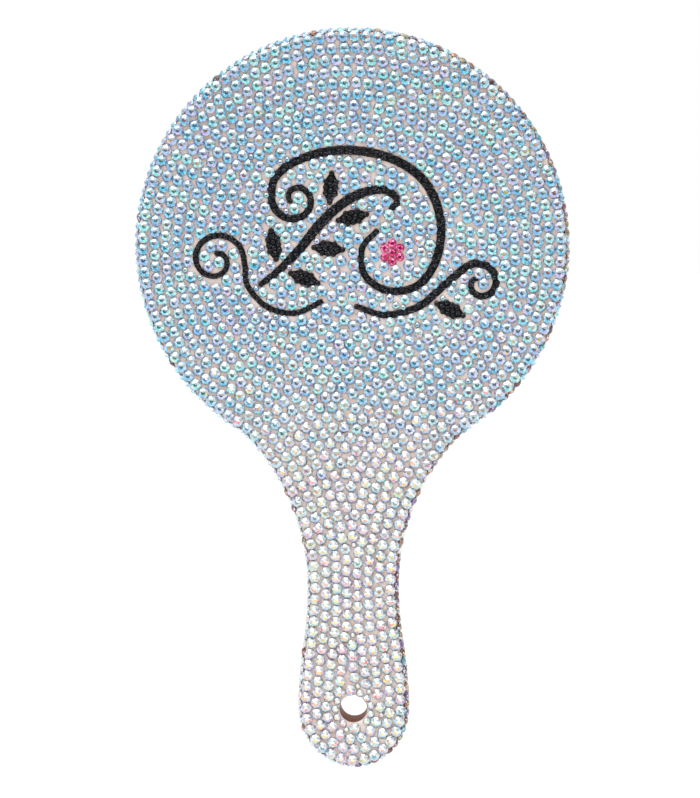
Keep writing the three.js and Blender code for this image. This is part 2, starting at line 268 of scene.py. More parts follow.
def bed(ring):
    """Points and faces of a low block on the glue, whose outline is a closed ring of (x, z)."""
    count = len(ring)
    points = [(x, y, z) for y in (GLUE_Y, GLUE_Y - BED_HEIGHT) for x, z in ring]
    faces = [[i, (i + 1) % count, count + (i + 1) % count, count + i] for i in range(count)]
    for triangle in tessellate_polygon([[Vector((x, z, 0)) for x, z in ring]]):
        faces.append([count + k for k in triangle])
        faces.append(list(reversed(triangle)))
    return points, faces


def stand_off(distance, total, swell):
    """How far a strand's stones stand to either side of its line, after distance of its total length."""
    return swell * MM * np.sin(math.pi * distance / total).clip(0) ** SWELL_POWER


def strand_bed(path, length, swell):
    """The black resin that a strand's stones are set in."""
    along = np.gradient(path, axis=0)
    along /= np.linalg.norm(along, axis=1)[:, None]
    side = np.stack([-along[:, 1], along[:, 0]], 1)
    reach = stand_off(length, length[-1], swell) + BED_SHARE * SS6
    return bed(np.concatenate([path + side * reach[:, None], (path - side * reach[:, None])[::-1]]))


def lay_strand(name, knots, swell):
    """Scroll stones that zigzag about the centre line, wider in the middle of the strand."""
    path = smooth_path(knots)
    length = np.concatenate([[0], np.cumsum(np.linalg.norm(np.diff(path, axis=0), axis=1))])
    beds[name] = strand_bed(path, length, swell)

    def at(distance):
        return np.array([np.interp(distance, length, path[:, 0]), np.interp(distance, length, path[:, 1])])

    near = 0.1 * MM
    distance, hand = 0, 1
    while distance <= length[-1]:
        along = at(distance + near) - at(distance - near)
        along /= np.linalg.norm(along)
        reach = stand_off(distance, length[-1], swell)
        layout.add(at(distance) + hand * reach * np.array([-along[1], along[0]]), SS6, name)
        distance += math.sqrt(SCROLL_PITCH ** 2 - (2 * reach) ** 2)
        hand = -hand


def lay_leaf(name, centre, tilt):
    """A pointed leaf of close-packed stones: a long middle row with a short row on either side."""
    turn = math.radians(tilt)
    along = np.array([math.cos(turn), math.sin(turn)])
    side = np.array([-along[1], along[0]])
    middle = np.array(centre) * MM + [0, HEAD_Z]
    half_length, half_width = LEAF_HALF_LENGTH * SCROLL_PITCH, LEAF_HALF_WIDTH * SCROLL_PITCH
    edge = np.linspace(-1, 1, 13)[:-1]
    reach = along * edge[:, None] * half_length + side * (1 - edge[:, None] ** 2) * half_width
    beds[name] = bed(np.concatenate([middle + reach, middle - reach]))
    for row, count in LEAF_ROWS.items():
        for i in range(count):
            step = along * (i - (count - 1) / 2) * SCROLL_PITCH + side * row * SCROLL_PITCH * LEAF_ROW_SPACING
            layout.add(middle + step, SS6, name)


def lay_flower():
    layout.add(FLOWER_CENTRE, FLOWER_STONE, "flower_centre_stone")
    for i in range(6):
        angle = (i + 0.5) * math.pi / 3
        petal = FLOWER_CENTRE + PETAL_RING * np.array([math.cos(angle), math.sin(angle)])
        layout.add(petal, FLOWER_STONE, f"flower_petal_stone_{i + 1}")


def lay_hole_stones():
    """Nine stones beside the hang hole, five down its right side and four down its left."""
    between = 27.5
    angles = np.radians([68 - between * i for i in range(5)] + [152 + between * i for i in range(4)])
    for i, angle in enumerate(angles):
        spot = np.array([HOLE_RING * math.cos(angle), HOLE_Z + HOLE_RING * math.sin(angle)])
        layout.add(spot, HOLE_STONE, f"hang_hole_stone_{i + 1}")


def clear_of_hole(point, radius):
    return math.hypot(point[0], point[1] - HOLE_Z) >= HOLE_RADIUS + HOLE_CLEARANCE + radius


def lay_rows():
    """Rows of SS16 stones parallel to the outline, from the edge inward. Returns the number of rows."""
    step, slack = 0.1 * MM, 0.05 * MM
    row = 0
    while True:
        inset = EDGE_ROW_INSET + row * ROW_SPACING
        ring = resample(OUTLINE - NORMALS * inset, step)
        ring = ring[edge_distance(ring) > inset - slack]
        if len(ring) < 4:
            return row
        start = int(rng.integers(len(ring)))
        ring = np.roll(ring, -start, 0)
        for point in ring:
            if layout.room(point, SS16) and clear_of_hole(point, SS16):
                wobble = rng.normal(0, ROW_WOBBLE, 2)
                layout.add(point + wobble, SS16, f"stone_row_{row + 1:02d}")
        row += 1


class GapGrid:
    """A grid over the back with each point's distance to the nearest stone and the outline, up to reach."""

    def __init__(self, margin, step, reach):
        low, high = OUTLINE.min(0) + margin, OUTLINE.max(0) - margin
        self.xs, self.zs = np.arange(low[0], high[0], step), np.arange(low[1], high[1], step)
        self.reach = reach
        self.to_stone = np.full((len(self.xs), len(self.zs)), reach)
        self.to_edge = self.to_stone.copy()
        for centre, radius in zip(layout.centres, layout.radii):
            self.stamp(self.to_stone, centre, radius)
        for point in OUTLINE:
            self.stamp(self.to_edge, point, 0)
        right = OUTLINE[:len(OUTLINE) // 2 + 1]
        half_width = np.interp(-self.zs, -right[:, 1], right[:, 0])
        self.inside = np.abs(self.xs)[:, None] < half_width[None, :]

    def stamp(self, field, centre, radius):
        """Lowers field near centre to the distance from a circle of that radius."""
        i0, i1 = np.searchsorted(self.xs, (centre[0] - self.reach, centre[0] + self.reach))
        j0, j1 = np.searchsorted(self.zs, (centre[1] - self.reach, centre[1] + self.reach))
        distance = np.hypot(self.xs[i0:i1, None] - centre[0], self.zs[None, j0:j1] - centre[1]) - radius
        field[i0:i1, j0:j1] = np.minimum(field[i0:i1, j0:j1], distance)

    def fill(self, radius, group, room, edge_room):
        """Lays stones at least room from other stones and edge_room from the outline, widest gap first."""
        fits = self.inside & (self.to_stone >= room) & (self.to_edge >= edge_room)
        places = np.argwhere(fits)
        for i, j in places[np.argsort(-self.to_stone[fits], kind="stable")]:
            point = np.array([self.xs[i], self.zs[j]])
            if self.to_stone[i, j] >= room and clear_of_hole(point, min(radius, room)):
                layout.add(point, radius, group)
                self.stamp(self.to_stone, point, radius)


def fill_gaps():
    """Smaller stones in the gaps that the rows leave, the largest that fits first."""
    grid = GapGrid(margin=0, step=0.25 * MM, reach=5 * MM)
    for radius in STONE_SIZES:
        grid.fill(radius, "filler_stones", radius + FILLER_GAP, radius + FILLER_GAP)


def push_apart(free, reach, rounds):
    """Nudges the free stones, by their indices, off their neighbours and off the hang hole."""
    centres = layout.centres
    near = np.linalg.norm(centres[free][:, None] - centres[None], axis=2) < reach
    near[np.arange(len(free)), free] = False
    one, other = np.nonzero(near)
    one = free[one]
    share = np.where(np.isin(other, free), GIVE_TO_FREE, GIVE_TO_FIXED)
    touching = layout.radii[one] + layout.radii[other] + STONE_GAP
    for _ in range(rounds):
        apart = centres[one] - centres[other]
        distance = np.linalg.norm(apart, axis=1)
        overlap = (touching - distance).clip(0)
        np.add.at(centres, one, apart * (overlap * share / distance)[:, None])
        from_hole = centres[free] - [0, HOLE_Z]
        gap = np.linalg.norm(from_hole, axis=1)
        short = (HOLE_RADIUS + HOLE_CLEARANCE + SS16 - gap).clip(0)
        centres[free] += from_hole * (short / gap)[:, None]


def fit_sizes(free):
    """Gives each free stone the largest size that fits its place, and drops it if none does."""
    slack = 0.02 * MM
    for index in free:
        room = np.linalg.norm(layout.centres - layout.centres[index], axis=1) - layout.radii
        room[index] = np.inf
        sizes = [size for size in STONE_SIZES if size <= room.min() + slack]
        layout.radii[index] = sizes[0] if sizes else 0
    keep = np.flatnonzero(layout.radii > 0)
    layout.centres, layout.radii = layout.centres[keep], layout.radii[keep]
    layout.groups = [layout.groups[i] for i in keep]


def settle(rounds):
    """Squeezes stones into the wider gaps, then moves all but the edge row until they lie side by side."""
    reach = 3 * SS16
    grid = GapGrid(margin=reach, step=0.5 * MM, reach=reach)
    grid.fill(SS16, "infill_stones", SNUG, EDGE_ROW_INSET + SS16)
    in_rows = [group.startswith("stone_row") and group != "stone_row_01" for group in layout.groups]
    free = np.flatnonzero(np.array(in_rows) | (np.array(layout.groups) == "infill_stones"))
    push_apart(free, reach, rounds)
    fit_sizes(free)


for strand, (swell, knots) in STRANDS.items():
    lay_strand(strand, knots, swell)
for number, (centre, tilt) in enumerate(LEAVES, 1):
    lay_leaf(f"scroll_leaf_{number}", centre, tilt)
scroll_names = list(dict.fromkeys(layout.groups))
lay_flower()
lay_hole_stones()
row_count = lay_rows()
settle(rounds=60)
settle(rounds=30)
fill_gaps()
print("rows", row_count, "stones", len(layout.radii))


# ------------ one stone

# A flat-backed stone of unit radius, standing on z = 0: an eight-sided table in eight wedges, sixteen facets
# that slope gently round it, twenty-four steeper ones, a girdle and the flat back.
TABLE, INNER, OUTER, GIRDLE, BACK = range(5)
TABLE_SHARE = 0.39
RIDGE_SHARE = 0.76
BASE_SHARE = 0.97
GIRDLE_SHARE = 0.5
INNER_SLOPE = math.radians(26)
SEAT_TILT = 0.035
SEAT_DEPTH = 0.02 * MM
HEIGHT_SHARE = 0.93
BACK_NORMAL = np.array([0, -1.0, 0])


def gem_template(height, girdle):
    """Vertices and faces of a stone of unit radius, with each face's kind."""
    eighth = np.arange(8) * math.pi / 4
    sixteenth = np.arange(16) * math.pi / 8
    ridge_height = height - (RIDGE_SHARE * math.cos(math.pi / 8) - TABLE_SHARE) * math.tan(INNER_SLOPE)

    def circle(angles, radius, z):
        return np.stack([radius * np.cos(angles), radius * np.sin(angles), np.full(len(angles), z)], 1)

    points = np.concatenate([
        circle(eighth, TABLE_SHARE, height), circle(eighth + math.pi / 8, RIDGE_SHARE, ridge_height),
        circle(sixteenth, 1, girdle), circle(sixteenth, BASE_SHARE, 0), [[0, 0, height]]])
    table, ridge, rim, base, middle = 0, 8, 16, 32, 48
    faces = []
    for i in range(8):
        after, before = (i + 1) % 8, (i - 1) % 8
        faces.append(([table + i, table + after, middle], TABLE))
        faces.append(([table + i, ridge + i, table + after], INNER))
        faces.append(([table + i, ridge + before, ridge + i], INNER))
        faces.append(([ridge + before, rim + 2 * i, ridge + i], OUTER))
        faces.append(([ridge + i, rim + 2 * i, rim + 2 * i + 1], OUTER))
        faces.append(([ridge + i, rim + 2 * i + 1, rim + (2 * i + 2) % 16], OUTER))
    for i in range(16):
        after = (i + 1) % 16
        faces.append(([rim + i, base + i, base + after, rim + after], GIRDLE))
    faces.append((list(range(base + 15, base - 1, -1)), BACK))
    return points, faces


def basis_for(normal, spin, tilt):
    """Columns are a stone's own x, y and z directions: z along its table's normal, tipped a little."""
    z = normal + tilt
    z /= np.linalg.norm(z)
    helper = np.array([0, 0, 1.0]) if abs(z[2]) < 0.9 else np.array([1.0, 0, 0])
    x = np.cross(helper, z)
    x /= np.linalg.norm(x)
    y = np.cross(z, x)
    cosine, sine = math.cos(spin), math.sin(spin)
    return np.stack([cosine * x + sine * y, cosine * y - sine * x, z], 1)


# ------------ colours of the facets

def linear(hex_colour):
    """A hex colour in linear light."""
    channel = np.array([int(hex_colour[i:i + 2], 16) / 255 for i in (0, 2, 4)])
    return np.where(channel <= 0.04045, channel / 12.92, ((channel + 0.055) / 1.055) ** 2.4)


def palette(*hex_colours):
    return np.array([linear(h) for h in hex_colours])


WHITES = palette("ffffff", "f8fcff", "fff8fb", "f2fcff")
# Four related colours make a stone's mood, for the facets round its table: cool ones on the head, pale ones
# on the handle.
HEAD_MOODS = np.array([
    palette("48bede", "7cd2e8", "3c9cca", "acd2e4"), palette("68b2dc", "8cc0e4", "94aadc", "56bee0"),
    palette("7cdad6", "a0dedc", "66cede", "c6e2de"), palette("b0b2de", "dcbedc", "8eb4de", "84cee6")])
HANDLE_MOODS = np.array([
    palette("b4d8e6", "c6dce6", "a8c6de", "dcd0c4"), palette("c0b8da", "cec6dc", "b2c2de", "d8c6cc"),
    palette("acd8d6", "c8dcd2", "a4cade", "dcd4bc")])
# A table's spot is a painted reflection over its AB colour: warm on the handle; on the head teal, or olive
# more often toward the right.
WARMS = palette("ffd23c", "ffbe4a", "ffdc6a", "ffa45c", "ff8c74", "ffe8a4", "ffbe90", "ffde3c", "ffd450")
TEALS = palette("4a9a9a", "4f9f86", "4482b0", "5a8a98", "6a8f98", "5aa088", "4f72b0")
OLIVES = palette("84988c", "98907c", "78909a", "a08068", "8a9a94", "80848e", "b87a58")
# Rare bright facets, painted shade on some outer facets, a painted brown and purple reflection on the edge
# stones, and the girdles.
ACCENTS = palette("f0604a", "e8649a", "c07ae0", "ffb060", "ffe070")
SHADES = palette("5f8fc0", "8a92b0", "6fa8c4", "9c8fa6")
HANDLE_SHADES = palette("9a90ae", "a89c9c", "8fa4ba", "b0a090")
BROWNS = palette("96604a", "ac7c5c", "74463c", "9c6a72", "8470a0", "66b8c8", "b89478", "644040", "a8946c")
GIRDLES = palette("a49c9c", "948c94", "b0a4a0")
WARM_BELOW = HEAD_Z - 0.82 * HEAD_RADIUS
WARM_BLEND = 8 * MM
TONE_CHANCE = 0.12

# Painted highlight: how white a facet is to begin with, for facing up or right, on the head, low on the head,
# and by chance.
WHITE_START = 0.35
WHITE_UP = 0.55
WHITE_RIGHT = 0.12
WHITE_HEAD = -0.21
WHITE_LOW_HEAD = 0.25
WHITE_CHANCE = 0.25
SHADED_CHANCE = 0.25
HEAD_ACCENT_CHANCE = 0.02
HANDLE_ACCENT_CHANCE = 0.1
OUTER_WHITE_LEAST = 0.15
OUTER_WHITE_SHARE = 0.5
# How much light from above and from the right a table's wedge needs to show white.
LIT_ON_HEAD = 0.45
LIT_ON_HANDLE = 0.15

# How likely an edge stone shows a painted brown reflection: on the handle's right and left, at the head's
# middle and more toward its right, within bounds, and how much less behind the first row.
BROWN_RIGHT = 0.8
BROWN_LEFT = 0.15
BROWN_MIDDLE = 0.3
BROWN_ACROSS = 0.55
BROWN_LEAST, BROWN_MOST = 0.06, 0.75
BROWN_BEHIND = 0.35
GLINT_CHANCE = 0.2


def pick(colours, amount):
    return colours[rng.integers(len(colours), size=amount)]


def own(colours, stones):
    """An entry of colours at random for each stone, repeated over the stone's facets."""
    return pick(colours, stones.max() + 1)[stones]


def mix(a, b, share):
    share = np.asarray(share)[:, None]
    return a * (1 - share) + b * share


def head_tones(places, stones):
    """How far each facet's stone has the head's cool colours, and whether it counts as one of the head's."""
    amount = stones.max() + 1
    head_share = 1 / (1 + np.exp(-(places[:, 2] - WARM_BELOW) / WARM_BLEND))
    tone = np.clip(head_share + rng.normal(0, TONE_CHANCE, amount)[stones], 0, 1)
    return tone, rng.random(amount)[stones] < tone


def mood_colours(stones, tone):
    """A colour for each facet out of its stone's mood."""
    facets = np.arange(len(stones))
    shade = rng.integers(4, size=len(stones))
    head = own(HEAD_MOODS, stones)[facets, shade]
    handle = own(HANDLE_MOODS, stones)[facets, shade]
    return mix(handle, head, tone)


def slope_colours(kinds, leans, places, mood, tone, on_head):
    """The facets round the table: a painted highlight whitens them the more they face up, painted shade on
    some, a few bright.
    """
    count = len(kinds)
    up, side = leans[:, 2], leans[:, 0]
    low_head = np.clip((HEAD_Z + 0.3 * HEAD_RADIUS - places[:, 2]) / HEAD_RADIUS, 0, 1)
    start = WHITE_START + (WHITE_LOW_HEAD * low_head + WHITE_HEAD) * tone
    chance = rng.normal(0, WHITE_CHANCE, count)
    # Painted highlight: facets that face up or right are whitened as if lit from there.
    painted_highlight = np.clip(start + WHITE_UP * up + WHITE_RIGHT * side + chance, 0, 1)
    inner = mix(mood, pick(WHITES, count), painted_highlight)
    outer = mix(mood, pick(WHITES, count), OUTER_WHITE_LEAST + OUTER_WHITE_SHARE * painted_highlight)
    colour = np.where((kinds == INNER)[:, None], inner, outer)
    # Painted shade: some outer facets take a darker shade colour, as if shaded by their neighbours.
    shaded = (kinds == OUTER) & (rng.random(count) < SHADED_CHANCE)
    shades = np.where(on_head[:, None], pick(SHADES, count), pick(HANDLE_SHADES, count))
    colour = np.where(shaded[:, None], shades, colour)
    accent = rng.random(count) < np.where(on_head, HEAD_ACCENT_CHANCE, HANDLE_ACCENT_CHANCE)
    accent &= (kinds == INNER) & (up < 0.3)
    colour[accent] = pick(ACCENTS, int(accent.sum()))
    return colour


def table_colours(leans, places, stones, mood, on_head):
    """The table's wedges: a painted highlight of white where they are lit, else a painted reflection in the
    stone's table colour.
    """
    count, amount = len(stones), stones.max() + 1
    left = rng.random(amount)[stones] < 0.5 - places[:, 0] / (2.2 * HEAD_RADIUS)
    cool = np.where(left[:, None], own(TEALS, stones), own(OLIVES, stones))
    warm = mix(own(WARMS, stones), pick(WHITES, count), 0.4 * rng.random(count))
    # Painted highlight and reflection: wedges facing up and right turn white, the rest show a painted
    # reflection, warm on the handle.
    light = leans[:, 2] + 0.4 * leans[:, 0] + rng.normal(0, 0.3, count)
    lit = light > np.where(on_head, LIT_ON_HEAD, LIT_ON_HANDLE)
    spot = np.where(on_head[:, None], mix(cool, mood, 0.25 * rng.random(count)), warm)
    return np.where(lit[:, None], pick(WHITES, count), spot)


def ab_and_painted_light_colours(kinds, leans, places, stones):
    """Iridescent colours and painted highlights, shade and reflections, by each facet's side and its stone's
    place.
    """
    tone, on_head = head_tones(places, stones)
    mood = mood_colours(stones, tone)
    colour = slope_colours(kinds, leans, places, mood, tone, on_head)
    table = table_colours(leans, places, stones, mood, on_head)
    colour = np.where((kinds == TABLE)[:, None], table, colour)
    wall = kinds >= GIRDLE
    colour[wall] = pick(GIRDLES, int(wall.sum()))
    return colour


def rim_colours(kinds, leans, places, stones):
    """Edge stones: many on the right show a painted brown or purple reflection, each in a colour of its own.
    """
    count, amount = len(kinds), stones.max() + 1
    out = ab_and_painted_light_colours(kinds, leans, places, stones)
    head = np.clip(BROWN_MIDDLE + BROWN_ACROSS * places[:, 0] / HEAD_RADIUS, BROWN_LEAST, BROWN_MOST)
    handle = np.where(places[:, 0] > 0, BROWN_RIGHT, BROWN_LEFT)
    chance = np.where(places[:, 2] < WARM_BELOW, handle, head)
    chance *= np.where(places[:, 1] < RIM_ROWS[1][0], 1, BROWN_BEHIND)
    # Painted reflection: many edge stones, more on the right, turn brown or purple as if reflecting the wood
    # and dark surroundings.
    brown = rng.random(amount)[stones] < chance
    brown_reflection = mix(own(BROWNS, stones), pick(BROWNS, count), 0.5 * rng.random(count))
    brown_reflection *= rng.uniform(0.5, 1.3, count)[:, None]
    glint = rng.random(count) < GLINT_CHANCE
    return np.where((brown & ~glint)[:, None], np.clip(brown_reflection, 0, 1), out)


def plain_colours(main_colours, table_colours):
    """A colour function that picks at random, whatever the facet's lean, place and stone."""
    def colours(kinds, *_):
        out = pick(main_colours, len(kinds))
        tables = kinds == TABLE
        out[tables] = pick(table_colours, int(tables.sum()))
        return out
    return colours


# Painted glints: the grey facets among the black and the pale pink ones among the pink; the darker pink
# tables are a painted reflection.
BLACK = plain_colours(palette(*["0a0a0c", "101014"] * 8, "6e6e78"), palette("070708", "0c0c0f", "24242a"))
PINK = plain_colours(palette("e81878", "f84c9e", "c80e62", "ffb0d4", "a80a4e"), palette("8c0c44", "b4185e"))


# ------------ materials

def new_material(name):
    """An empty material, its nodes and links, and its shader."""
    material = bpy.data.materials.new(name)
    material.use_nodes = True
    nodes, links = material.node_tree.nodes, material.node_tree.links
    nodes.clear()
    shader = nodes.new("ShaderNodeBsdfPrincipled")
    output = nodes.new("ShaderNodeOutputMaterial")
    links.new(shader.outputs["BSDF"], output.inputs["Surface"])
    return material, nodes, links, shader


def noise(nodes, links, scale, detail, roughness=0.6, stretch=None):
    """A noise texture over the object's own coordinates, stretched along an axis if asked."""
    coords = nodes.new("ShaderNodeTexCoord")
    texture = nodes.new("ShaderNodeTexNoise")
    texture.inputs["Scale"].default_value = scale
    texture.inputs["Detail"].default_value = detail
    texture.inputs["Roughness"].default_value = roughness
    source = coords.outputs["Object"]
    if stretch:
        mapping = nodes.new("ShaderNodeMapping")
        mapping.inputs["Scale"].default_value = stretch
        links.new(source, mapping.inputs["Vector"])
        source = mapping.outputs["Vector"]
    links.new(source, texture.inputs["Vector"])
    return texture.outputs["Fac"]


def map_range(nodes, links, source, low, high, from_low=0.3, from_high=0.7):
    """Turns a value between from_low and from_high into one between low and high."""
    node = nodes.new("ShaderNodeMapRange")
    node.inputs["From Min"].default_value = from_low
    node.inputs["From Max"].default_value = from_high
    node.inputs["To Min"].default_value = low
    node.inputs["To Max"].default_value = high
    links.new(source, node.inputs["Value"])
    return node.outputs["Result"]


def ramp(nodes, links, source, *stops):
    """A colour ramp; each stop is a position and a hex colour."""
    node = nodes.new("ShaderNodeValToRGB")
    elements = node.color_ramp.elements
    while len(elements) < len(stops):
        elements.new(0.5)
    for element, (position, colour) in zip(elements, stops):
        element.position = position
        element.color = (*linear(colour), 1)
    links.new(source, node.inputs["Fac"])
    return node.outputs["Color"]


def maths(nodes, links, operation, a, b):
    """A Math node on two values, each a socket or a number."""
    node = nodes.new("ShaderNodeMath")
    node.operation = operation
    for socket, value in zip(node.inputs, (a, b)):
        if isinstance(value, (int, float)):
            socket.default_value = value
        else:
            links.new(value, socket)
    return node.outputs["Value"]


def multiply(nodes, links, a, b):
    node = nodes.new("ShaderNodeMix")
    node.data_type = "RGBA"
    node.blend_type = "MULTIPLY"
    node.inputs["Factor"].default_value = 1
    links.new(a, node.inputs["A"])
    links.new(b, node.inputs["B"])
    return node.outputs["Result"]


def bump(nodes, links, height, shader, strength, distance):
    node = nodes.new("ShaderNodeBump")
    node.inputs["Strength"].default_value = strength
    node.inputs["Distance"].default_value = distance
    links.new(height, node.inputs["Height"])
    links.new(node.outputs["Normal"], shader.inputs["Normal"])


def gem_material(name, metallic, rough, specular, coat):
    """Faceted glass: each facet's colour and painted light, clouded a little, with fine wear on its polish.
    """
    material, nodes, links, shader = new_material(name)
    tint_and_painted_light = nodes.new("ShaderNodeAttribute")
    tint_and_painted_light.attribute_name = "tint_and_painted_light"
    cloud = map_range(nodes, links, noise(nodes, links, scale=900, detail=3), low=0.86, high=1.0)
    # This attribute holds each facet's colour together with its painted highlight, shade and reflection.
    links.new(multiply(nodes, links, tint_and_painted_light.outputs["Color"], cloud), shader.inputs["Base Color"])
    wear = noise(nodes, links, scale=2600, detail=5)
    links.new(map_range(nodes, links, wear, low=rough, high=rough * 2.2), shader.inputs["Roughness"])
    bump(nodes, links, wear, shader, strength=0.15, distance=0.01 * MM)
    shader.inputs["Metallic"].default_value = metallic
    shader.inputs["Specular IOR Level"].default_value = specular
    shader.inputs["Coat Weight"].default_value = coat
    shader.inputs["Coat Roughness"].default_value = 0.03
    return material


def glue_material():
    """Cured clear glue over the stain, which shows as a warm beige."""
    material, nodes, links, shader = new_material("glue")
    patches = noise(nodes, links, scale=160, detail=6)
    colour = ramp(nodes, links, patches, (0.3, "dac4ba"), (0.5, "ecd8ce"), (0.7, "f6e8e0"))
    links.new(colour, shader.inputs["Base Color"])
    ripple = noise(nodes, links, scale=1100, detail=5)
    links.new(map_range(nodes, links, ripple, low=0.3, high=0.6), shader.inputs["Roughness"])
    bump(nodes, links, ripple, shader, strength=0.6, distance=0.15 * MM)
    return material


def wood_material():
    """Reddish-brown stained wood, its grain along the handle."""
    material, nodes, links, shader = new_material("stained_wood")
    grain = noise(nodes, links, scale=420, detail=8, roughness=0.65, stretch=(1, 1, 0.05))
    broad = noise(nodes, links, scale=60, detail=4, roughness=0.5, stretch=(1, 1, 0.12))
    pores = noise(nodes, links, scale=1800, detail=3, roughness=0.5, stretch=(1, 1, 0.03))
    level = maths(nodes, links, "ADD", maths(nodes, links, "MULTIPLY", grain, 0.5),
                  maths(nodes, links, "MULTIPLY", broad, 0.5))
    stain = ramp(nodes, links, level, (0.38, "46220f"), (0.48, "6e3a1f"), (0.56, "824828"), (0.66, "985c38"))
    pore_shade = map_range(nodes, links, pores, low=0.72, high=1.0, from_low=0.36, from_high=0.48)
    links.new(multiply(nodes, links, stain, pore_shade), shader.inputs["Base Color"])
    links.new(map_range(nodes, links, grain, low=0.4, high=0.6), shader.inputs["Roughness"])
    bump(nodes, links, pores, shader, strength=0.3, distance=0.08 * MM)
    shader.inputs["Specular IOR Level"].default_value = 0.2
    return material


def hazed_material(name, low, high, metallic, roughness, scale):
    """A plain finish with a faint haze, between the colours low and high and between two roughnesses."""
    material, nodes, links, shader = new_material(name)
    haze = noise(nodes, links, scale, detail=5)
    links.new(ramp(nodes, links, haze, (0.35, low), (0.65, high)), shader.inputs["Base Color"])
    links.new(map_range(nodes, links, haze, *roughness), shader.inputs["Roughness"])
    bump(nodes, links, haze, shader, strength=0.05, distance=0.01 * MM)
    shader.inputs["Metallic"].default_value = metallic
    return material


CRYSTAL = gem_material("ab_crystal", metallic=0.75, rough=0.07, specular=0.5, coat=0.4)
BLACK_GLASS = gem_material("black_crystal", metallic=0.0, rough=0.05, specular=0.3, coat=0.0)
PINK_GLASS = gem_material("pink_crystal", metallic=0.6, rough=0.07, specular=0.5, coat=0.5)
WOOD = wood_material()
GLUE = glue_material()
MIRROR = hazed_material("mirror_glass", "cfd8da", "d9e0e2", metallic=1.0, roughness=(0.012, 0.025), scale=18)
SILVERING = hazed_material("silvering", "6c6e70", "8a8c8e", metallic=0.6, roughness=(0.35, 0.5), scale=120)
FOAM = hazed_material("foam_tape", "dcd8d0", "f0ece4", metallic=0.0, roughness=(0.75, 0.9), scale=900)


# ------------ building the pieces

def mesh_object(name, points, faces, material):
    mesh = bpy.data.meshes.new(name)
    mesh.from_pydata([tuple(p) for p in points], [], [list(f) for f in faces])
    mesh.materials.append(material)
    mesh.update()
    thing = bpy.data.objects.new(name, mesh)
    bpy.context.scene.collection.objects.link(thing)
    return thing


def soften(piece, angle):
    """Smooth shading, with creases kept where faces meet at more than angle degrees."""
    piece.data.shade_smooth()
    piece.data.set_sharp_from_angle(angle=math.radians(angle))


def place(piece, slot, *nodes):
    """Hangs a piece on the body in place of some CAD nodes."""
    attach(piece, "root")
    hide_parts(*nodes)
    return piece


def stones_object(name, stones, colours, material, setting=None):
    """One object of many stones; each is (centre, normal, radius, height, wobble of its seat).

    The setting, if any, is the points and faces of what the stones are set in.
    """
    all_points, all_faces, facets = [], [], []
    offset = 0
    for owner, (centre, normal, radius, height, wobble) in enumerate(stones):
        points, faces = gem_template(height / radius, GIRDLE_SHARE * height / radius)
        turn = basis_for(normal, rng.uniform(0, 2 * math.pi), rng.normal(0, wobble, 3))
        world = points * radius @ turn.T + centre
        middle = world.mean(0)
        for face, kind in faces:
            lean = world[face].mean(0) - middle
            lean -= normal * (lean @ normal)
            facets.append((kind, lean / (np.linalg.norm(lean) + 1e-9), centre, owner))
            all_faces.append([offset + k for k in face])
        all_points.append(world)
        offset += len(points)
    if setting:
        points, faces = setting
        all_points.append(points)
        for face in faces:
            facets.append((BACK, BACK_NORMAL, points[face[0]], 0))
            all_faces.append([offset + k for k in face])
    piece = mesh_object(name, np.concatenate(all_points), all_faces, material)
    tints_and_painted_light = colours(*(np.array(column) for column in zip(*facets)))
    loops = np.repeat(tints_and_painted_light, [len(f) for f in all_faces], axis=0)
    # Each facet's colour, with its painted light, goes into a colour attribute.
    layer = piece.data.color_attributes.new("tint_and_painted_light", "FLOAT_COLOR", "CORNER")
    layer.data.foreach_set("color", np.concatenate([loops, np.ones((len(loops), 1))], 1).ravel())
    return piece


def flat_stones(group):
    """The stones of one group of the layout, as stones_object wants them."""
    stones = []
    for (x, z), radius in zip(*layout.of(group)):
        if group in scroll_names:
            height = SCROLL_STONE_HEIGHT
        elif radius < SS16:
            height = SMALL_STONE_HEIGHT * min(1, radius / SS10)
        else:
            height = FACE_STONE_HEIGHT
        seat = np.array([x, GLUE_Y + SEAT_DEPTH, z])
        stones.append((seat, BACK_NORMAL, radius, HEIGHT_SHARE * height, SEAT_TILT))
    return stones


FIELD_NODES = ("head_stone_field", "neck_stone_field", "handle_stone_field")


def make_face_stones():
    groups = [f"stone_row_{row + 1:02d}" for row in range(row_count)] + ["infill_stones", "filler_stones"]
    for group in groups:
        if group in layout.groups:
            place(stones_object(group, flat_stones(group), ab_and_painted_light_colours, CRYSTAL), "ab_crystal", *FIELD_NODES)


def make_cut_stones():
    """The scroll, the flower and the small stones round the hang hole."""
    for name in scroll_names:
        stones = stones_object(f"{name}_stones", flat_stones(name), BLACK, BLACK_GLASS, beds[name])
        place(stones, "black_crystal", name)
    for node in sorted(g for g in set(layout.groups) if g.startswith("flower_")):
        place(stones_object(f"{node}_cut", flat_stones(node), PINK, PINK_GLASS), "pink_crystal", node)
    for node in sorted(g for g in set(layout.groups) if g.startswith("hang_hole_")):
        place(stones_object(f"{node}_cut", flat_stones(node), ab_and_painted_light_colours, CRYSTAL), "ab_crystal", node)


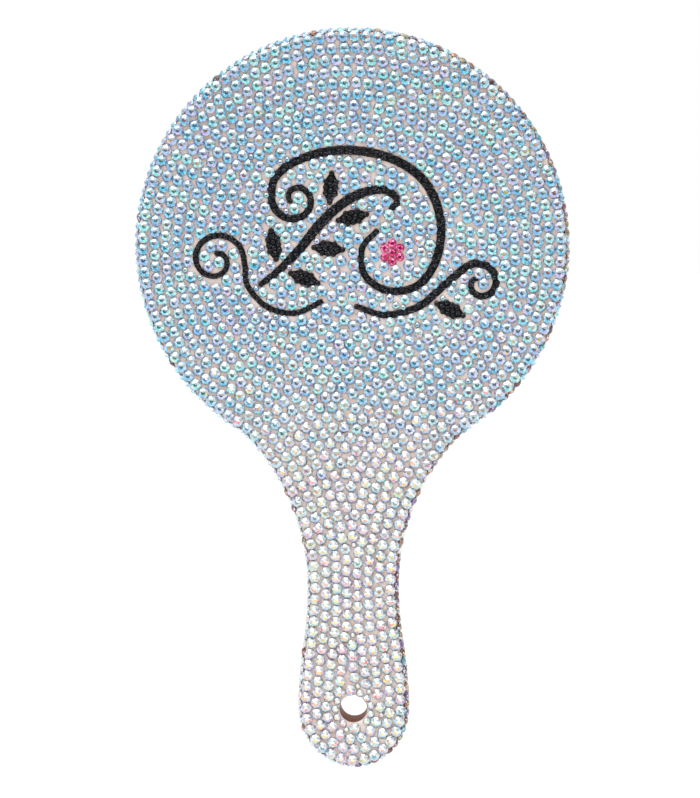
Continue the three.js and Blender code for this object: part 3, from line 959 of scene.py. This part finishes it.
def make_rim_stones():
    """Three rows of stones round the side, every other row set half a stone on."""
    groups = {node: [] for node in RIM_NODES}
    neck_top = HEAD_Z - HEAD_RADIUS * math.sin(NECK_START)
    for number, (row_y, lean) in enumerate(RIM_ROWS):
        ring = resample(np.roll(OUTLINE, -3 * (number % 2), 0), RIM_PITCH)
        for (x, z), (nx, nz) in zip(ring, outward_normals(ring)):
            if z > neck_top:
                node = "rim_stones_head"
            elif z < HOLE_Z:
                node = "rim_stones_end"
            else:
                node = "rim_stones_right" if x > 0 else "rim_stones_left"
            angle = math.radians(lean)
            outward = np.array([nx, 0, nz])
            normal = outward * math.cos(angle) + BACK_NORMAL * math.sin(angle)
            centre = np.array([x, row_y, z]) + outward * RIM_LIFT
            groups[node].append((centre, normal, SS12, RIM_HEIGHT, RIM_TILT))
    for node, stones in groups.items():
        place(stones_object(f"{node}_cut", stones, rim_colours, CRYSTAL), "ab_crystal", node)


# ------------ wood, glue and mirror

def outline_loop(inset, y):
    """The paddle's outline moved inward by inset, at one depth."""
    ring = COARSE_OUTLINE - COARSE_NORMALS * inset
    return [(x, y, z) for x, z in ring]


def round_loop(centre_z, radius, y, count):
    angles = np.linspace(0, 2 * math.pi, count, endpoint=False)
    return [(radius * math.sin(a), y, centre_z + radius * math.cos(a)) for a in angles]


class Shell:
    """A closed mesh gathered from loops of points, walls between them and flat caps."""

    def __init__(self):
        self.points = []
        self.faces = []

    def wall(self, loops):
        """Walls between loops of equal length. Returns the index ranges of the first and last loop."""
        starts = []
        for loop in loops:
            starts.append(len(self.points))
            self.points += loop
        count = len(loops[0])
        for a, b in zip(starts, starts[1:]):
            for i in range(count):
                after = (i + 1) % count
                self.faces.append([a + i, b + i, b + after, a + after])
        return range(starts[0], starts[0] + count), range(starts[-1], starts[-1] + count)

    def cap(self, *rings):
        """A flat face bounded by the first ring, with the others as holes in it."""
        order = [index for ring in rings for index in ring]
        loops = [[Vector((self.points[i][0], self.points[i][2], 0)) for i in ring] for ring in rings]
        for triangle in tessellate_polygon(loops):
            self.faces.append([order[k] for k in triangle])

    def build(self, name, material):
        piece = mesh_object(name, self.points, self.faces, material)
        mesh = bmesh.new()
        mesh.from_mesh(piece.data)
        bmesh.ops.recalc_face_normals(mesh, faces=mesh.faces)
        mesh.to_mesh(piece.data)
        mesh.free()
        return piece


COARSE_OUTLINE = resample(OUTLINE, COARSE_STEP)
COARSE_NORMALS = outward_normals(COARSE_OUTLINE)
CORNER = 0.8 * MM
HOLE_CORNER = 0.5 * MM
# The flat faces' last loop lies this many corner radii in, so that the smooth shading stays on the corner.
FLAT_SHARE = 1.6
GLASS_RADIUS = glass_high.x
POCKET_RADIUS = GLASS_RADIUS + 0.3 * MM
POCKET_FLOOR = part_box("mirror_foam_tape")[0].y
BEVEL_WIDTH = 9 * MM
BEVEL_DEPTH = 1.2 * MM
ARRIS = 0.15 * MM


def side_profile(corner, steps):
    """Insets and depths from the back face round a corner, down the side and round a corner to the front."""
    angles = [i / steps * math.pi / 2 for i in range(steps + 1)]
    shares = [(1 - math.sin(angle), 1 - math.cos(angle)) for angle in angles]
    back = [(corner * a, BACK_Y + corner * b) for a, b in shares]
    front = [(corner * a, FRONT_Y - corner * b) for a, b in reversed(shares)]
    return [(FLAT_SHARE * corner, BACK_Y), *back, *front, (FLAT_SHARE * corner, FRONT_Y)]


def make_paddle():
    """The wooden paddle, with rounded edges, the mirror's pocket and the hang hole."""
    shell = Shell()
    side = [outline_loop(inset, y) for inset, y in side_profile(CORNER, 5)]
    bore = [round_loop(HOLE_Z, HOLE_RADIUS + flare, y, 64) for flare, y in side_profile(HOLE_CORNER, 4)]
    pocket = [round_loop(HEAD_Z, POCKET_RADIUS, y, 256) for y in (FRONT_Y, POCKET_FLOOR)]
    back_ring, front_ring = shell.wall(side)
    hole_back_ring, hole_front_ring = shell.wall(bore)
    mouth_ring, floor_ring = shell.wall(pocket)
    shell.cap(back_ring, hole_back_ring)
    shell.cap(front_ring, hole_front_ring, mouth_ring)
    shell.cap(floor_ring)
    piece = shell.build("paddle_wood", WOOD)
    soften(piece, 35)
    place(piece, "stained_wood", "paddle_body")


def make_glue():
    """The glue coat, which wraps over the back's edge and the hole's."""
    shell = Shell()
    inner_y = BACK_Y + 0.05 * MM
    # How far in from the outline, or out from the hole's wall, in millimetres, and at what depth.
    edge = [(1.3, GLUE_Y), (0.85, GLUE_Y), (0.4, GLUE_Y + 0.07 * MM), (0.05, BACK_Y + 0.15 * MM),
            (-0.06, BACK_Y + 0.5 * MM), (-0.06, BACK_Y + 0.7 * MM), (0.2, BACK_Y + 0.7 * MM), (1.2, inner_y)]
    hole = [(1.0, GLUE_Y), (0.6, GLUE_Y), (0.25, GLUE_Y + 0.1 * MM), (0.05, BACK_Y + 0.3 * MM),
            (0.2, BACK_Y + 0.45 * MM), (1.2, inner_y)]
    outer_ring, inner_ring = shell.wall([outline_loop(inset * MM, y) for inset, y in edge])
    hole_loops = [round_loop(HOLE_Z, HOLE_RADIUS + flare * MM, y, 64) for flare, y in hole]
    hole_outer, hole_inner = shell.wall(hole_loops)
    shell.cap(outer_ring, hole_outer)
    shell.cap(inner_ring, hole_inner)
    piece = shell.build("glue_skin", GLUE)
    soften(piece, 60)
    place(piece, "glue", "back_glue_coat")


def make_mirror():
    """The round glass, with its bevel and a fine arris at its edge."""
    shell = Shell()
    front, back = glass_high.y, glass_low.y
    flat_radius, bevel_y = GLASS_RADIUS - BEVEL_WIDTH, front - BEVEL_DEPTH
    profile = [(flat_radius - 1 * MM, front), (flat_radius, front),
               (GLASS_RADIUS - ARRIS, bevel_y + ARRIS / 4), (GLASS_RADIUS, bevel_y - ARRIS),
               (GLASS_RADIUS, back + ARRIS), (GLASS_RADIUS - ARRIS, back)]
    front_ring, back_ring = shell.wall([round_loop(HEAD_Z, radius, y, 256) for radius, y in profile])
    shell.cap(front_ring)
    shell.cap(back_ring)
    piece = shell.build("bevelled_mirror", MIRROR)
    soften(piece, 4)
    place(piece, "mirror_glass", "mirror_glass")


def finish_hidden_layers():
    """The layers behind the glass stay as they are, with finer materials."""
    for node, material in (("mirror_silvering", SILVERING), ("mirror_foam_tape", FOAM)):
        for slot in frame["nodes"][node].material_slots:
            slot.material = material


# ------------ floor, light and camera

WORLD_STRENGTH = 0.92
FLOOR_DROP = 30 * MM
FLOOR_HALF_WIDTH = 4
FLOOR_NEAR, FLOOR_FAR = -1.1, 5
CAMERA_AZIMUTH = math.radians(3)
CAMERA_ELEVATION = math.radians(6.3)
CAMERA_DISTANCE = 640 * MM
CAMERA_AIM = Vector((-0.6, -4.75, 80)) * MM
CAMERA_ROLL = math.radians(-0.3)
VIEW_ANGLE = math.radians(25.1)
SENSOR_WIDTH = 36


def make_world():
    """A bright studio, a little dimmer low down and in front, where the camera stands."""
    world = bpy.data.worlds.new("studio")
    bpy.context.scene.world = world
    world.use_nodes = True
    nodes, links = world.node_tree.nodes, world.node_tree.links
    nodes.clear()
    coords = nodes.new("ShaderNodeTexCoord")
    split = nodes.new("ShaderNodeSeparateXYZ")
    links.new(coords.outputs["Generated"], split.inputs["Vector"])
    before = maths(nodes, links, "MULTIPLY", split.outputs["Y"], -1.0)
    front = ramp(nodes, links, before, (0.6, "ffffff"), (0.8, "d8dde0"), (0.94, "b4babe"))
    behind = maths(nodes, links, "MULTIPLY", maths(nodes, links, "MAXIMUM", split.outputs["Y"], 0.0), 0.6)
    lift = maths(nodes, links, "ADD", maths(nodes, links, "ADD", split.outputs["Z"], 0.4), behind)
    height = ramp(nodes, links, lift, (0.0, "cdd1d4"), (0.4, "e4e8ea"), (0.8, "ffffff"))
    lights = nodes.new("ShaderNodeBackground")
    links.new(multiply(nodes, links, front, height), lights.inputs["Color"])
    lights.inputs["Strength"].default_value = WORLD_STRENGTH
    plain = nodes.new("ShaderNodeBackground")
    plain.inputs["Color"].default_value = (1, 1, 1, 1)
    path = nodes.new("ShaderNodeLightPath")
    choose = nodes.new("ShaderNodeMixShader")
    links.new(path.outputs["Is Camera Ray"], choose.inputs["Fac"])
    links.new(lights.outputs["Background"], choose.inputs[1])
    links.new(plain.outputs["Background"], choose.inputs[2])
    output = nodes.new("ShaderNodeOutputWorld")
    links.new(choose.outputs["Shader"], output.inputs["Surface"])


def make_floor():
    """A white ground well below the mirror, which stands in the air as in the photo."""
    material, nodes, links, shader = new_material("floor")
    speckle = ramp(nodes, links, noise(nodes, links, scale=8, detail=3), (0.3, "f7f7f7"), (0.7, "fafafa"))
    links.new(speckle, shader.inputs["Base Color"])
    shader.inputs["Roughness"].default_value = 0.8
    z = cad_box[0].z - FLOOR_DROP
    corners = [(-FLOOR_HALF_WIDTH, FLOOR_NEAR, z), (FLOOR_HALF_WIDTH, FLOOR_NEAR, z),
               (FLOOR_HALF_WIDTH, FLOOR_FAR, z), (-FLOOR_HALF_WIDTH, FLOOR_FAR, z)]
    mesh_object("floor", corners, [(0, 1, 2, 3)], material)


def make_sun(name, strength, angle, direction):
    """A lamp at no distance, as wide as angle in degrees, that shines along direction."""
    data = bpy.data.lights.new(name, "SUN")
    data.energy = strength
    data.angle = math.radians(angle)
    lamp = bpy.data.objects.new(name, data)
    lamp.rotation_mode = "QUATERNION"
    lamp.rotation_quaternion = Vector(direction).to_track_quat("-Z", "Y")
    bpy.context.scene.collection.objects.link(lamp)


def make_camera():
    """The photo's view: from a little right of the middle and a little above."""
    across = math.cos(CAMERA_ELEVATION)
    back = Vector((math.sin(CAMERA_AZIMUTH) * across, -math.cos(CAMERA_AZIMUTH) * across,
                   math.sin(CAMERA_ELEVATION)))
    data = bpy.data.cameras.new("camera")
    data.sensor_width = SENSOR_WIDTH
    data.lens = SENSOR_WIDTH / 2 / math.tan(VIEW_ANGLE / 2)
    camera = bpy.data.objects.new("camera", data)
    camera.location = CAMERA_AIM + back * CAMERA_DISTANCE
    camera.rotation_mode = "QUATERNION"
    camera.rotation_quaternion = (-back).to_track_quat("-Z", "Y") @ Quaternion((0, 0, 1), CAMERA_ROLL)
    bpy.context.scene.collection.objects.link(camera)
    bpy.context.scene.camera = camera


make_face_stones()
make_cut_stones()
make_rim_stones()
make_paddle()
make_glue()
make_mirror()
finish_hidden_layers()
make_world()
make_floor()
make_sun("key_light", strength=1.2, angle=60, direction=(0.25, 0.7, -0.85))
make_sun("top_light", strength=0.7, angle=60, direction=(-0.1, -0.25, -1))
make_camera()
bpy.context.scene.view_settings.view_transform = "Standard"
